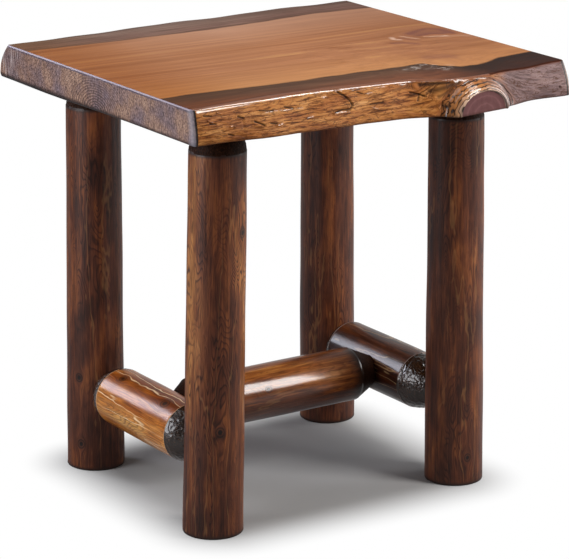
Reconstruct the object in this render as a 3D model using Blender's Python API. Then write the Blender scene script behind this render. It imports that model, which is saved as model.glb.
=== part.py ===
"""Live edge end table.

A sawn pine slab with two natural edges stands on four peeled log legs, and three log stretchers tie
the legs into an H. Every log ends in a round tenon, cut under a rounded shoulder, that sits in a
bored blind mortise.

Metres, +Z up. +X runs along the slab to its right end, and -Y faces the front live edge. The origin
lies on the floor under the middle of the table's outline.
"""

import math

import bmesh
import bpy
from mathutils import Matrix, Vector

# Slab: overall sizes and softened edges
TABLE_HEIGHT = 0.610
SLAB_LENGTH = 0.590
SLAB_WIDTH = 0.5155  # over the top face, between the mean lines of the two live edges
SLAB_THICKNESS = 0.0455
TOP_ARRIS = 0.0035
UNDER_ARRIS = 0.0025
END_ARRIS = 0.004

# Front live edge: how far it flares out towards the underside, and where it swells and hollows
FRONT_FLARE = 0.013
HOLLOW_FROM_LEFT_END = 0.148
HOLLOW_DEPTH = 0.012
HOLLOW_SPREAD = 0.040
TAIL_FROM_RIGHT_END = 0.085
TAIL_SWELL = 0.017
TAIL_SPREAD = 0.050

# Rear live edge: it flares more, widens towards the right end and swells left of the middle
REAR_FLARE = 0.022
REAR_WIDENING = 0.033
REAR_SWELL_FROM_LEFT_END = 0.263
REAR_SWELL = 0.021
REAR_SWELL_SPREAD = 0.075

# Ripple of the wood along both live edges
RIPPLE_HEIGHT = 0.0012
RIPPLE_PITCH = 0.094

# Sawn branch stub on the front live edge, the wood swollen behind it and the bark collar round it
STUB_FROM_RIGHT_END = 0.164
STUB_WIDTH = 0.080
STUB_PROUD = 0.009
STUB_TURN = math.radians(8.5)
STUB_ROOT = 0.030
STUB_LIFT = 0.0005
STUB_SWELL = 0.035
STUB_SWELL_SPREAD = 0.062
STUB_SWELL_CROWN = 4
STUB_SWELL_SHIFT = 0.010
COLLAR_WIDTH = 0.0135
COLLAR_TOP_MARGIN = 0.002
COLLAR_LIP = 0.003
COLLAR_DROP = 0.020
COLLAR_DROP_CURVE = 1.5
COLLAR_RIDGES = 3
COLLAR_RIDGE_HEIGHT = 0.0009

# Legs: the logs stand butt end down, at these distances from the slab's edges
LEG_FOOT_DIAMETER = 0.0825
LEG_TOP_DIAMETER = 0.077
LEFT_LEG_INSET = 0.0905
RIGHT_LEG_INSET = 0.1005
FRONT_LEG_INSET = 0.0978
REAR_LEG_INSET = 0.0893
LEG_SHOULDER = 0.0365
FOOT_CHAMFER = 0.002
# How far each log's foot and its top lie to the right of and behind its nominal place
LEG_DRIFT = {
    "front_left_leg": ((-0.0010, 0.0006), (0.0075, -0.0042)),
    "rear_left_leg": ((0, 0), (0.0047, -0.0025)),
    "front_right_leg": ((-0.0005, 0.0003), (-0.0040, 0.0031)),
    "rear_right_leg": ((0, 0), (-0.0018, 0.0013)),
}

# Stretchers: diameters, heights of their axes, and the length of the shoulder at each end
LEFT_STRETCHER_DIAMETER = 0.082
RIGHT_STRETCHER_DIAMETER = 0.081
CENTRE_STRETCHER_DIAMETER = 0.078
LEFT_STRETCHER_HEIGHT = 0.120
RIGHT_STRETCHER_HEIGHT = 0.122
LEFT_FRONT_SHOULDER = 0.023
LEFT_REAR_SHOULDER = 0.034
RIGHT_FRONT_SHOULDER = 0.041
RIGHT_REAR_SHOULDER = 0.021
CENTRE_LEFT_SHOULDER = 0.020
CENTRE_RIGHT_SHOULDER = 0.0295

# Tenon joints: the cutter's tenon, the square land at its foot and the wood left behind each mortise
TENON_DIAMETER = 0.044
TENON_CHAMFER = 0.002
SHOULDER_LAND = 0.003
ROUND_SHOULDER = 1.75
STRAIGHT_SHOULDER = 1.0
SLAB_COVER = 0.0125
LOG_BACK_WALL = 0.028
GLUE_SPACE = 0.001
FIT_GAP = 0.0003
CUTTER_MARGIN = 0.010

# Fineness of the facets
LOG_SIDES = 32
SHOULDER_STEPS = 5
SLAB_STATION_PITCH = 0.0145
SLAB_EDGE_STEPS = 5
COLLAR_STEPS = 12
STUB_SIDES = 36
SMOOTH_ANGLE = math.radians(35)
SAME_POINT = 1e-6

# Stain colours, as linear red, green and blue
HONEY_STAIN = (0.42, 0.19, 0.085)
DARK_STAIN = (0.065, 0.027, 0.016)
AMBER_STAIN = (0.27, 0.115, 0.055)
STAIN_ROUGHNESS = 0.38

# Places that follow from the sizes above
SLAB_UNDERSIDE = TABLE_HEIGHT - SLAB_THICKNESS
LEFT_END = -SLAB_LENGTH / 2
RIGHT_END = SLAB_LENGTH / 2
STUB_X = RIGHT_END - STUB_FROM_RIGHT_END
TENON_RADIUS = TENON_DIAMETER / 2
LAND_RADIUS = TENON_RADIUS + SHOULDER_LAND
LEG_SEAT = SLAB_UNDERSIDE - FIT_GAP
LEG_SHOULDER_START = LEG_SEAT - LEG_SHOULDER


def stained_pine(name, colour):
    """A satin stained and lacquered wood for one piece."""
    material = bpy.data.materials.new(name + "_stain")
    material.use_nodes = True
    shader = material.node_tree.nodes["Principled BSDF"]
    shader.inputs["Base Color"].default_value = (*colour, 1)
    shader.inputs["Roughness"].default_value = STAIN_ROUGHNESS
    shader.inputs["Metallic"].default_value = 0
    return material


def place(name, shape, parent, location=(0, 0, 0), direction=(0, 0, 1)):
    """Turns a bmesh into an object whose local Z points along direction."""
    mesh = bpy.data.meshes.new(name)
    shape.to_mesh(mesh)
    shape.free()
    mesh.shade_smooth()
    mesh.set_sharp_from_angle(angle=SMOOTH_ANGLE)
    piece = bpy.data.objects.new(name, mesh)
    bpy.context.collection.objects.link(piece)
    piece.parent = parent
    piece.location = location
    piece.rotation_euler = Vector((0, 0, 1)).rotation_difference(Vector(direction)).to_euler()
    return piece


def combine(piece, tool, operation):
    """Cuts the tool out of the piece, or joins it on, and keeps the tool out of sight."""
    tool.hide_render = True
    tool.display_type = "WIRE"
    modifier = piece.modifiers.new(tool.name, "BOOLEAN")
    modifier.operation = operation
    modifier.solver = "EXACT"
    modifier.object = tool


def turned(profile, sides):
    """A solid of revolution about Z from (radius, height) points that start and end on the axis."""
    shape = bmesh.new()
    points = [shape.verts.new((radius, 0, height)) for radius, height in profile]
    edges = [shape.edges.new(pair) for pair in zip(points, points[1:])]
    bmesh.ops.spin(
        shape, geom=points + edges, axis=(0, 0, 1), cent=(0, 0, 0),
        angle=2 * math.pi, steps=sides, use_merge=True,
    )
    bmesh.ops.remove_doubles(shape, verts=shape.verts, dist=SAME_POINT)
    bmesh.ops.recalc_face_normals(shape, faces=shape.faces)
    return shape


def bump(distance, spread, power=2):
    """A smooth hump of height 1; a higher power gives a flatter crown and steeper sides."""
    return math.exp(-abs(distance / spread) ** power)


def ripple(x, drop):
    return RIPPLE_HEIGHT * math.sin(2 * math.pi * (x / RIPPLE_PITCH + drop / 4))


def front_reach(x, drop):
    """How far the front edge stands beyond its mean line; drop is 0 at the top and 1 at the underside."""
    flare = FRONT_FLARE * math.sin(drop * math.pi / 2)
    hollow = HOLLOW_DEPTH * bump(x - LEFT_END - HOLLOW_FROM_LEFT_END, HOLLOW_SPREAD)
    tail = TAIL_SWELL * bump(x - RIGHT_END + TAIL_FROM_RIGHT_END, TAIL_SPREAD)
    free_edge = flare + (tail - hollow) * (1 - drop) + ripple(x, drop)
    at_stub = bump(x - STUB_X + STUB_SWELL_SHIFT, STUB_SWELL_SPREAD, STUB_SWELL_CROWN)
    return free_edge * (1 - at_stub) + STUB_SWELL * at_stub


def rear_reach(x, drop):
    """How far the rear edge stands beyond its mean line."""
    flare = REAR_FLARE * math.sin(drop * math.pi / 2)
    swell = REAR_SWELL * bump(x - LEFT_END - REAR_SWELL_FROM_LEFT_END, REAR_SWELL_SPREAD)
    return flare + swell + REAR_WIDENING * x / SLAB_LENGTH + ripple(x, 1 - drop)


def live_edge(x, inset, side, reach):
    """One live edge of a cross-section, from the top face down to the underside, arrises rounded."""
    top = TABLE_HEIGHT - inset
    under = SLAB_UNDERSIDE + inset
    quarter = 1 - math.sqrt(0.5)

    def outer(height, indent=0):
        drop = (TABLE_HEIGHT - height) / SLAB_THICKNESS
        return side * (SLAB_WIDTH / 2 + reach(x, drop) - inset - indent)

    points = [(outer(top, TOP_ARRIS), top)]
    points.append((outer(top, TOP_ARRIS * quarter), top - TOP_ARRIS * quarter))
    edge_top = top - TOP_ARRIS
    edge_under = under + UNDER_ARRIS
    for step in range(SLAB_EDGE_STEPS + 1):
        height = edge_top + (edge_under - edge_top) * step / SLAB_EDGE_STEPS
        points.append((outer(height), height))
    points.append((outer(under, UNDER_ARRIS * quarter), under + UNDER_ARRIS * quarter))
    points.append((outer(under, UNDER_ARRIS), under))
    return points


def slab_stations():
    """Places along the slab as (x, inset), closing in over the rounded arrises of the sawn ends."""
    rounding = []
    for angle in (0, math.pi / 4, math.pi / 2):
        rounding.append((END_ARRIS * (1 - math.cos(angle)), END_ARRIS * (1 - math.sin(angle))))
    plain_length = SLAB_LENGTH - 2 * END_ARRIS
    count = round(plain_length / SLAB_STATION_PITCH)
    plain = [LEFT_END + END_ARRIS + plain_length * step / count for step in range(1, count)]
    left = [(LEFT_END + along, inset) for along, inset in rounding]
    right = [(RIGHT_END - along, inset) for along, inset in reversed(rounding)]
    return left + [(x, 0) for x in plain] + right


def slab_shape():
    """The slab, lofted along X through its cross-sections."""
    shape = bmesh.new()
    rings = []
    for x, inset in slab_stations():
        front = live_edge(x, inset, -1, front_reach)
        rear = live_edge(x, inset, 1, rear_reach)
        points = [shape.verts.new((x, y, z)) for y, z in front + rear[::-1]]
        rings.append([shape.edges.new(pair) for pair in zip(points, points[1:] + points[:1])])
    for ring, following in zip(rings, rings[1:]):
        bmesh.ops.bridge_loops(shape, edges=ring + following)
    for end in (rings[0], rings[-1]):
        bmesh.ops.contextual_create(shape, geom=end)
    bmesh.ops.recalc_face_normals(shape, faces=shape.faces)
    return shape


def collar_profile(face_radius):
    """The stub from the middle of its sawn face, over the collar's bark ridges, back to its root."""
    profile = [(0, 0), (face_radius, 0)]
    for step in range(COLLAR_STEPS + 1):
        share = step / COLLAR_STEPS
        ridge = COLLAR_RIDGE_HEIGHT * math.cos(2 * math.pi * COLLAR_RIDGES * share)
        height = COLLAR_LIP * (1 - share) - COLLAR_DROP * share**COLLAR_DROP_CURVE + ridge
        profile.append((face_radius + COLLAR_WIDTH * share, height))
    profile.append((face_radius + COLLAR_WIDTH, -STUB_ROOT))
    profile.append((0, -STUB_ROOT))
    return profile


def stub_shape():
    """The branch stub: turned about the branch, stretched along the edge and sawn off at the underside."""
    face_radius = SLAB_THICKNESS - STUB_LIFT - COLLAR_TOP_MARGIN - COLLAR_WIDTH
    shape = turned(collar_profile(face_radius), STUB_SIDES)
    bmesh.ops.rotate(shape, verts=shape.verts, matrix=Matrix.Rotation(math.pi / 2, 3, "X"))
    bmesh.ops.scale(shape, verts=shape.verts, vec=(STUB_WIDTH / 2 / face_radius, 1, 1))
    everything = shape.verts[:] + shape.edges[:] + shape.faces[:]
    cut = bmesh.ops.bisect_plane(
        shape, geom=everything, dist=SAME_POINT, plane_co=(0, 0, 0), plane_no=(0, 0, 1), clear_inner=True
    )
    rim = [item for item in cut["geom_cut"] if isinstance(item, bmesh.types.BMEdge)]
    bmesh.ops.contextual_create(shape, geom=rim)
    bmesh.ops.rotate(shape, verts=shape.verts, matrix=Matrix.Rotation(STUB_TURN, 3, "Z"))
    front = -(SLAB_WIDTH / 2 + STUB_SWELL + STUB_PROUD)
    bmesh.ops.translate(shape, verts=shape.verts, vec=(STUB_X, front, SLAB_UNDERSIDE + STUB_LIFT))
    bmesh.ops.recalc_face_normals(shape, faces=shape.faces)
    return shape


def shoulder(log_radius, start, seat, curve):
    """Points of a tenon shoulder from the log's full radius at start to the square land at seat."""
    points = []
    for step in range(SHOULDER_STEPS + 1):
        share = step / SHOULDER_STEPS
        radius = log_radius - (log_radius - LAND_RADIUS) * share**curve
        points.append((radius, start + (seat - start) * share))
    return points


def tenon(seat, end):
    """Points of a tenon from its shoulder's land to the middle of its chamfered end."""
    chamfer = math.copysign(TENON_CHAMFER, end - seat)
    return [
        (TENON_RADIUS, seat),
        (TENON_RADIUS, end - chamfer),
        (TENON_RADIUS - TENON_CHAMFER, end),
        (0, end),
    ]


def leg_radius(height):
    """The radius of a leg's log, which thins evenly from its foot to its shoulder."""
    share = height / LEG_SHOULDER_START
    return (LEG_FOOT_DIAMETER + (LEG_TOP_DIAMETER - LEG_FOOT_DIAMETER) * share) / 2


def leg_middle(name, height):
    """The middle of a leg's log at a height, on a straight line up to the slab and plumb above that."""
    x = LEFT_END + LEFT_LEG_INSET if "left" in name else RIGHT_END - RIGHT_LEG_INSET
    y = FRONT_LEG_INSET - SLAB_WIDTH / 2 if "front" in name else SLAB_WIDTH / 2 - REAR_LEG_INSET
    foot, top = (Vector((*drift, 0)) for drift in LEG_DRIFT[name])
    return Vector((x, y, height)) + foot.lerp(top, min(height / LEG_SEAT, 1))


def leg_reach(name, height, side):
    """How far a leg's surface stands out to the front or the rear anywhere beside a land at that height."""
    middle = leg_middle(name, height).y
    beside = (height - LAND_RADIUS, height + LAND_RADIUS)
    return max(side * (leg_middle(name, level).y - middle) + leg_radius(level) for level in beside)


def leg_shape(name):
    """One leg: chamfered foot, tapering log, rounded shoulder and the tenon for the slab."""
    foot_radius = leg_radius(0)
    profile = [(0, 0), (foot_radius - FOOT_CHAMFER, 0), (leg_radius(FOOT_CHAMFER), FOOT_CHAMFER)]
    profile += shoulder(leg_radius(LEG_SHOULDER_START), LEG_SHOULDER_START, LEG_SEAT, ROUND_SHOULDER)
    profile += tenon(LEG_SEAT, TABLE_HEIGHT - SLAB_COVER - GLUE_SPACE)
    shape = turned(profile, LOG_SIDES)
    foot = leg_middle(name, 0)
    for point in shape.verts:
        drift = leg_middle(name, point.co.z) - foot
        point.co.x += drift.x
        point.co.y += drift.y
    return shape


def mortise_shape(bottom, mouth):
    """A bored hole for a tenon, from its bottom to past the surface it is bored in."""
    radius = TENON_RADIUS + FIT_GAP
    return turned([(0, bottom), (radius, bottom), (radius, mouth), (0, mouth)], LOG_SIDES)


def stretcher_shape(radius, ends, seats, shoulders, curve):
    """A stretcher along Z with a shoulder and a tenon at each end, from its first tenon to its last."""
    profile = tenon(seats[0], ends[0])[::-1]
    profile += shoulder(radius, seats[0] + shoulders[0], seats[0], curve)[::-1]
    profile += shoulder(radius, seats[1] - shoulders[1], seats[1], curve)
    profile += tenon(seats[1], ends[1])
    return turned(profile, LOG_SIDES)


def add_stretcher(name, diameter, hosts, shoulders, curve):
    """Places a stretcher between two hosts, each given as (object, point on its middle, reach to the seat)."""
    _, first_point, first_reach = hosts[0]
    _, last_point, last_reach = hosts[1]
    span = last_point - first_point
    seats = (first_reach + FIT_GAP, span.length - last_reach - FIT_GAP)
    wood_left = LOG_BACK_WALL + GLUE_SPACE
    ends = (wood_left - first_reach, span.length - wood_left + last_reach)
    shape = stretcher_shape(diameter / 2, ends, seats, shoulders, curve)
    piece = place(name, shape, table, first_point, span)
    piece.data.materials.append(stained_pine(name, AMBER_STAIN))
    for (host, point, reach), direction in zip(hosts, (span, -span)):
        hole = mortise_shape(LOG_BACK_WALL - reach, reach + CUTTER_MARGIN)
        cutter = place(f"{host.name}_mortise_for_{name}", hole, table, point, direction)
        combine(host, cutter, "DIFFERENCE")
    return piece


for leftover in list(bpy.data.objects):
    bpy.data.objects.remove(leftover)

table = bpy.data.objects.new("table", None)
bpy.context.collection.objects.link(table)

# The slab, with its branch stub joined on
slab = place("slab_top", slab_shape(), table)
slab.data.materials.append(stained_pine("slab_top", HONEY_STAIN))
stub = place("branch_stub", stub_shape(), table)
combine(slab, stub, "UNION")

# The four legs, and the mortises for their tenons in the slab's underside
legs = {}
for name in LEG_DRIFT:
    legs[name] = place(name, leg_shape(name), table, leg_middle(name, 0))
    legs[name].data.materials.append(stained_pine(name, DARK_STAIN))
    hole = mortise_shape(SLAB_UNDERSIDE - CUTTER_MARGIN, TABLE_HEIGHT - SLAB_COVER)
    top = leg_middle(name, LEG_SEAT)
    cutter = place(f"slab_mortise_for_{name}", hole, table, (top.x, top.y, 0))
    combine(slab, cutter, "DIFFERENCE")

# The two side stretchers, from the front leg to the rear leg
side_stretchers = {}
for side, diameter, height, shoulders in (
    ("left", LEFT_STRETCHER_DIAMETER, LEFT_STRETCHER_HEIGHT, (LEFT_FRONT_SHOULDER, LEFT_REAR_SHOULDER)),
    ("right", RIGHT_STRETCHER_DIAMETER, RIGHT_STRETCHER_HEIGHT, (RIGHT_FRONT_SHOULDER, RIGHT_REAR_SHOULDER)),
):
    front, rear = f"front_{side}_leg", f"rear_{side}_leg"
    hosts = (
        (legs[front], leg_middle(front, height), leg_reach(front, height, 1)),
        (legs[rear], leg_middle(rear, height), leg_reach(rear, height, -1)),
    )
    piece = add_stretcher(f"{side}_stretcher", diameter, hosts, shoulders, ROUND_SHOULDER)
    side_stretchers[side] = (piece, hosts[0][1].lerp(hosts[1][1], 0.5), diameter / 2)

# The centre stretcher, between the middles of the side stretchers
add_stretcher(
    "centre_stretcher", CENTRE_STRETCHER_DIAMETER, (side_stretchers["left"], side_stretchers["right"]),
    (CENTRE_LEFT_SHOULDER, CENTRE_RIGHT_SHOULDER), STRAIGHT_SHOULDER,
)

# The origin lies under the middle of the outline, which the slab and its stub set
depths = [point.co.y for piece in (slab, stub) for point in piece.data.vertices]
table.location.y = -(min(depths) + max(depths)) / 2
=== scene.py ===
"""Live edge end table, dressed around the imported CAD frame.

A pine slab with two natural edges stands on four peeled log legs, and three log stretchers tie the
legs into an H. Metres, +Z up, -Y out of the front live edge, as in the CAD.
"""

import math
from functools import partial

import bmesh
import bpy
import numpy as np
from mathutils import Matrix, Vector, noise


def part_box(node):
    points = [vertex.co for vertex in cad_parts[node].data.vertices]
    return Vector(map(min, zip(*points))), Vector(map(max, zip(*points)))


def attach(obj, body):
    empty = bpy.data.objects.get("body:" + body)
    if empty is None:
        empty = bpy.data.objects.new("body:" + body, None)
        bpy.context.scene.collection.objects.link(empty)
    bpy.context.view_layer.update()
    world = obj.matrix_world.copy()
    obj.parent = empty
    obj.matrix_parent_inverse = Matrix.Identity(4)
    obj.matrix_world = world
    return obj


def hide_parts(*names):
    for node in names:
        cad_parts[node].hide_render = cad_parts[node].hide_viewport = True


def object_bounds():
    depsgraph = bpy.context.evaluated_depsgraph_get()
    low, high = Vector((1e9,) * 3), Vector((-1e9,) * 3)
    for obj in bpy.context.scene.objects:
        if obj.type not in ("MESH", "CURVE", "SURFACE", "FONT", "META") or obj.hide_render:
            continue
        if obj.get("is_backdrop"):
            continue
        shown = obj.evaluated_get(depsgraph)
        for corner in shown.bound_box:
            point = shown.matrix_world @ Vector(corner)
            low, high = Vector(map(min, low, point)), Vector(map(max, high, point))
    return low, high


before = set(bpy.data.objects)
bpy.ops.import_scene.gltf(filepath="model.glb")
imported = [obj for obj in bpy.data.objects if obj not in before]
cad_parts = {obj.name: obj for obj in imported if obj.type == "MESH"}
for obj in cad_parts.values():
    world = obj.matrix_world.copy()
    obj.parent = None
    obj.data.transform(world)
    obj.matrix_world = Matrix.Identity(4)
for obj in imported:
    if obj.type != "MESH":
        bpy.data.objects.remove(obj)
cad_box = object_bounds()
scene = bpy.context.scene
scene.view_settings.view_transform = "Standard"


# Slab
# One sawn pine plank with the tree's own edge left on along the front and the rear, and sawn ends. It
# is stained honey, darker towards the live edges, and lacquered satin. A branch was sawn off close to
# the front edge and left its stub and ringed collar there. The legs' tenons hold it from below.

SLAB_LOW, SLAB_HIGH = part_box("slab_top")
TOP, UNDER = SLAB_HIGH.z, SLAB_LOW.z - 0.001  # slightly thicker than the solid
THICKNESS = TOP - UNDER
LEFT_END, RIGHT_END = SLAB_LOW.x, SLAB_HIGH.x
FRONT_LINE, REAR_LINE = -0.25093, 0.26457  # the live edges' mean lines along the top face
FRONT_ROUND, REAR_ROUND, UNDER_ROUND = 0.005, 0.004, 0.002
LEFT_CORNER_ROUND, RIGHT_CORNER_ROUND = 0.008, 0.003
LEFT_END_ROUND, RIGHT_END_ROUND = 0.0025, 0.0015

STUB_X = 0.131
STUB_FACE_Y = -0.2949
STUB_SLOPE = math.tan(math.radians(8.5))
STUB_FACE_RADIUS = 0.0295
STUB_STRETCH = 0.04 / STUB_FACE_RADIUS  # the branch leans, so its sawn face is an ellipse
COLLAR_WIDTH, COLLAR_RINGS = 0.0155, 4.5
COLLAR_RADIUS = STUB_FACE_RADIUS + COLLAR_WIDTH
PITH_Y, PITH_Z = -0.008, 0.5636
RING_STRETCH = 1.7  # the growth rings are flattened across the plank
RING_PITCH, STUB_RING_PITCH = 0.0033, 0.0052
EDGE_FADE = 0.1  # the live edges' wander dies out this far from the plank's middle line
END_WRAP_EDGE, END_WRAP_TOP = 0.013, 0.0025  # how far the end grain wraps the live edges and the top
BAND_WIDTH = 0.085
HONEY, LIVE_EDGE, END_GRAIN, LACQUERED = range(4)  # the slab's finishes


def metres(lengths):
    """Lengths in millimetres, also in nested tuples, as metres."""
    return tuple(map(metres, lengths)) if isinstance(lengths, tuple) else lengths / 1000


def linear(code):
    """An sRGB hex colour as linear red, green, blue and alpha."""
    parts = [int(code[start : start + 2], 16) / 255 for start in (1, 3, 5)]
    return (*(p / 12.92 if p <= 0.04045 else ((p + 0.055) / 1.055) ** 2.4 for p in parts), 1)


def add_node(tree, kind, inputs=(), out=0, stops=None, **settings):
    """Adds a shader node, sets it, links or fills its inputs, given in their order or else by name or
    number, and returns one of its outputs. A kind in capitals is the operation of a Math node, and a
    string among the inputs is a hex colour. Stops are a colour ramp's colours by their positions."""
    if kind.isupper():
        kind, settings["operation"] = "Math", kind
    node = tree.nodes.new("ShaderNode" + kind)
    for key, value in settings.items():
        setattr(node, key, value)
    for key, value in inputs.items() if isinstance(inputs, dict) else enumerate(inputs):
        if isinstance(value, bpy.types.NodeSocket):
            tree.links.new(value, node.inputs[key])
        else:
            node.inputs[key].default_value = linear(value) if isinstance(value, str) else value
    if stops:
        elements = node.color_ramp.elements
        while len(elements) < len(stops):
            elements.new(1)
        for element, (position, colour) in zip(elements, stops.items()):
            element.position = position
            element.color = linear(colour)
    return node.outputs[out] if node.outputs else node


# A Mix node's settings for laying one colour over another, and for tinting one by another
COLOUR = {"out": 2, "data_type": "RGBA"}
TINT = {**COLOUR, "blend_type": "MULTIPLY"}


def new_finish(name):
    """An empty material, and the function that adds nodes to it."""
    material = bpy.data.materials.new(name)
    material.use_nodes = True
    material.node_tree.nodes.clear()
    return material, partial(add_node, material.node_tree)


def grain_figures(add, grain, rows, **mapping):
    """Noise drawn out along the grain, one for each row: its real lengths in x, y and z, then detail,
    roughness and distortion."""
    for lengths, *look in rows:
        scale = [1 / length for length in lengths]
        at = add("Mapping", {"Vector": grain, "Scale": scale, **mapping})
        look = zip(("Detail", "Roughness", "Distortion"), look)
        yield add("TexNoise", {"Vector": at, "Scale": 1, **dict(look)})


def lacquer(add, colour, rough, relief, specular, coat=0, coat_rough=0.1):
    """Ends a wood finish: fine relief, given as (height, strength, depth), under clear lacquer."""
    height, strength, depth = relief
    normal = add("Bump", {"Height": height, "Strength": strength, "Distance": depth})
    surface = add("BsdfPrincipled", {
        "Base Color": colour, "Roughness": rough, "Normal": normal, "Specular IOR Level": specular,
        "Coat Weight": coat, "Coat Roughness": coat_rough})
    add("OutputMaterial", {"Surface": surface})


def smooth(value, low=0.0, high=1.0):
    """0 below low, 1 above high and an even S between them."""
    share = min(max((value - low) / (high - low), 0), 1)
    return share * share * (3 - 2 * share)


def hump(distance, spread, power=2):
    """1 in the middle, falling away to both sides."""
    return math.exp(-abs(distance / spread) ** power)


def crowded(values, places):
    """Moves even cuts closer together near places, given as (middle, spread, how much denser)."""
    table = np.linspace(values.min(), values.max(), 600)
    density = np.ones_like(table)
    for middle, spread, gain in places:
        density += gain * np.exp(-(((table - middle) / spread) ** 2))
    reach = np.concatenate(([0], np.cumsum((density[1:] + density[:-1]) / 2)))
    even = table[0] + (table[-1] - table[0]) * reach / reach[-1]
    return np.interp(values, even, table)


def eased(near, beside, radius):
    """Rounds a square corner: distances from its two faces become those of a point on an arc."""
    reach = radius - min(near, beside)
    along = beside - near
    if abs(along) >= reach:
        return near, beside
    angle = (along + reach) / reach * math.pi / 4
    return radius - reach * math.sin(angle), radius - reach * math.cos(angle)


def ripple(x, drop):
    """A slow wave along a live edge."""
    return 0.0012 * math.sin(2 * math.pi * (x / 0.094 + drop / 4))


def front_reach(x, drop):
    """How far the front edge stands out from its mean line; drop runs from 0 at the top to 1 below."""
    upright = 1 - smooth(x, LEFT_END, LEFT_END + 0.14)  # at the left corner the edge stands steeper
    flare = (0.016 - 0.007 * upright) * math.sin(drop * math.pi / 2)
    hollow = 0.0155 * hump(x + 0.14, 0.085 if x < -0.14 else 0.14)
    hollow -= 0.004 * (1 - smooth(x, LEFT_END, LEFT_END + 0.05))
    tail = 0.017 * hump(x - RIGHT_END + 0.085, 0.05)
    at_stub = hump(x - STUB_X + 0.01, 0.058 + 0.027 * drop, 4)
    natural = flare + (tail - hollow * (1 - smooth(x, 0.02, 0.08))) * (1 - drop)
    natural += ripple(x, drop) * smooth(drop, 0.05, 0.5)
    return natural * (1 - at_stub) + (0.027 + 0.008 * drop) * at_stub


def rear_reach(x, drop):
    """The same for the rear edge, which swells twice and runs out towards the right."""
    flare = 0.022 * math.sin(drop * math.pi / 2)
    flare += (0.003 * math.sin(drop * math.pi) + 0.006 * drop) * hump(x - LEFT_END, 0.15)
    swell = 0.007 * hump(x - LEFT_END - 0.263, 0.075) + 0.007 * hump(x - LEFT_END - 0.45, 0.06)
    return flare + swell + 0.033 * x / (RIGHT_END - LEFT_END) + ripple(x, 1 - drop)


def under_sag(x, y):
    """How much thicker the plank is at the rear of its left end."""
    return 0.0035 * (1 - smooth(x, LEFT_END + 0.008, LEFT_END + 0.042)) * smooth(y, -0.12, 0.22)


def past_knots(along, across, knots):
    """The grain line through a point: lines that would cross a knot part and flow round it."""
    for knot_along, knot_across, radius, stretch in knots:
        off = across - knot_across
        apart = math.hypot((along - knot_along) / stretch, off)
        if apart < 6 * radius:
            parted = min(radius / max(apart, 1e-6), 1) ** 2
            across -= off * parted * (1 - smooth(apart, 3 * radius, 6 * radius))
    return across


def stub_radius(x, z):
    """Distance from the middle of the stub's sawn face, with the ellipse made round."""
    return math.hypot((x - STUB_X) / STUB_STRETCH, z - UNDER)


# Marks on the front edge as lines of (x, z) points, with half their width and their depth: a hooked
# check, a star check by the stub, short bark scars, a pin hole, and last four broad dark strokes left
# of the stub, mostly just under the arris, which are dark figure with painted shade
FRONT_MARKS = metres((
    (((-81, 582.8), (-70, 584.8), (-58, 583.8), (-52.5, 588), (-54.5, 594), (-60.5, 600.5),
      (-68, 605)), 1.2, 1.6),
    (((36, 595.5), (47, 592.5), (53, 590)), 1.1, 1.2),
    (((47, 592.5), (43, 585)), 1, 1),
    (((75, 577), (75.2, 577.2)), 3.5, 1.2),
    (((-278, 600.5), (-266, 598.5)), 1, 1.1),
    (((-270, 590), (-261, 588.5)), 1, 1),
    (((-226, 593.5), (-218, 590.5)), 1.1, 1.1),
    (((-203, 585), (-190, 579)), 1.1, 1.2),
    (((-192, 596.5), (-172, 594)), 0.9, 1),
    (((-152, 596.5), (-140, 593)), 1, 1),
    (((-244, 573.5), (-236, 571.5)), 0.9, 0.9),
    (((-181, 580.5), (-172, 579)), 0.9, 0.9),
    (((-40, 602.5), (-32, 600)), 0.9, 0.9),
    (((-26, 586.5), (-6, 587.5)), 0.9, 0.9),
    (((277, 576.8), (277.2, 576.8)), 1.4, 1.6),
    (((62, 596), (82, 600.5), (100, 605)), 4.5, 0.7),
    (((52, 603.5), (70, 605.5), (88, 606.2)), 3.2, 0.8),
    (((70, 589), (82, 593.5), (90, 597.5)), 2.6, 0.6),
    (((12, 599), (30, 602), (40, 602.2)), 2, 0.4),
))
# Thin ridges on the front edge that catch the light, as lines of (x, z) points
FRONT_RIDGES = metres((
    ((-190, 593.8), (-179.1, 593.6), (-151.9, 592.9), (-126, 592.5)),
    ((-272.7, 594.4), (-265.4, 590.9)),
    ((-256, 602), (-250, 599.5)),
    ((-203.1, 580), (-192.7, 577)),
    ((-171.6, 577), (-161, 578.3), (-150.4, 578.4)),
    ((-124, 580.5), (-115, 581.5)),
    ((-25.2, 583.3), (-16, 580)),
    ((-86, 581), (-72, 582.8), (-60, 581.2)),
    ((-98.5, 601), (-86.1, 601.5)),
    ((-30, 599), (-18, 600)),
    ((-240, 583), (-233, 582.2)),
))
EDGE_KNOTS = ((STUB_X, UNDER, 0.042, 1.35), (0.075, 0.577, 0.006, 1.6), (0.047, 0.591, 0.005, 1.6))
TOP_KNOTS = ((0.236, 0.002, 0.026, 1.5), (0.16, -0.165, 0.016, 1.8))

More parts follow.
